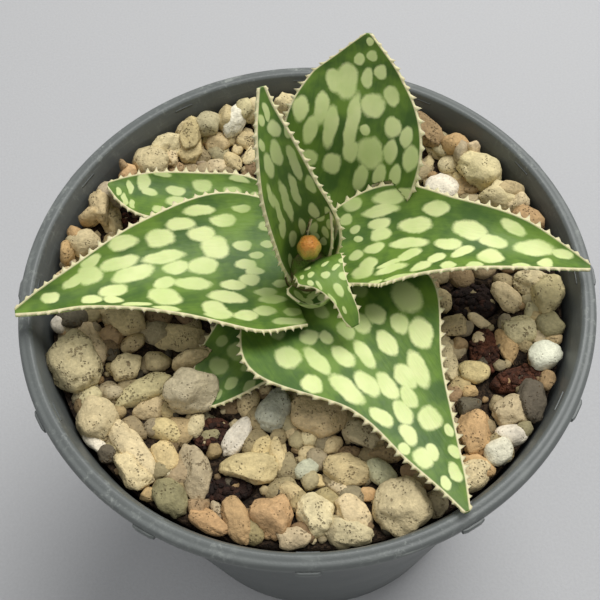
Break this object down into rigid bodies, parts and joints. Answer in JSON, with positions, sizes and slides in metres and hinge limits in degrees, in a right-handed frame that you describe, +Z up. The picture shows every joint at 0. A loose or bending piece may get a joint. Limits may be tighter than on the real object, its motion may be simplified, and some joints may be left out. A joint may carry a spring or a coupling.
{
  "type": "potted succulent",
  "caption": "Variegated dwarf aloe with toothed, pale-spotted leaves in a round nursery pot topped with pumice gravel.",
  "frame": {"origin": "centre of the pot's underside, on the floor the pot stands on", "axes": "+Z up along the pot's axis, +Y away from the viewer of the picture, +X to the viewer's right"},
  "size_m": [0.101, 0.101, 0.1261],
  "materials": {
    "pot_plastic": "satin",
    "soil": "matte",
    "pumice": "matte",
    "leaf": "satin",
    "stem": "matte",
    "bud": "satin"
  },
  "bodies": {
    "root": {"pot": "pot_plastic", "soil": "soil", "gravel": "pumice", "stem": "stem", "bud": "bud", "leaf_young_inner": "leaf", "leaf_young_front": "leaf", "leaf_sheath_front": "leaf", "leaf_upright": "leaf", "leaf_right": "leaf", "leaf_left": "leaf", "leaf_back_right": "leaf", "leaf_front_right": "leaf", "leaf_back_left": "leaf", "leaf_front_left": "leaf"}
  },
  "joints": []
}
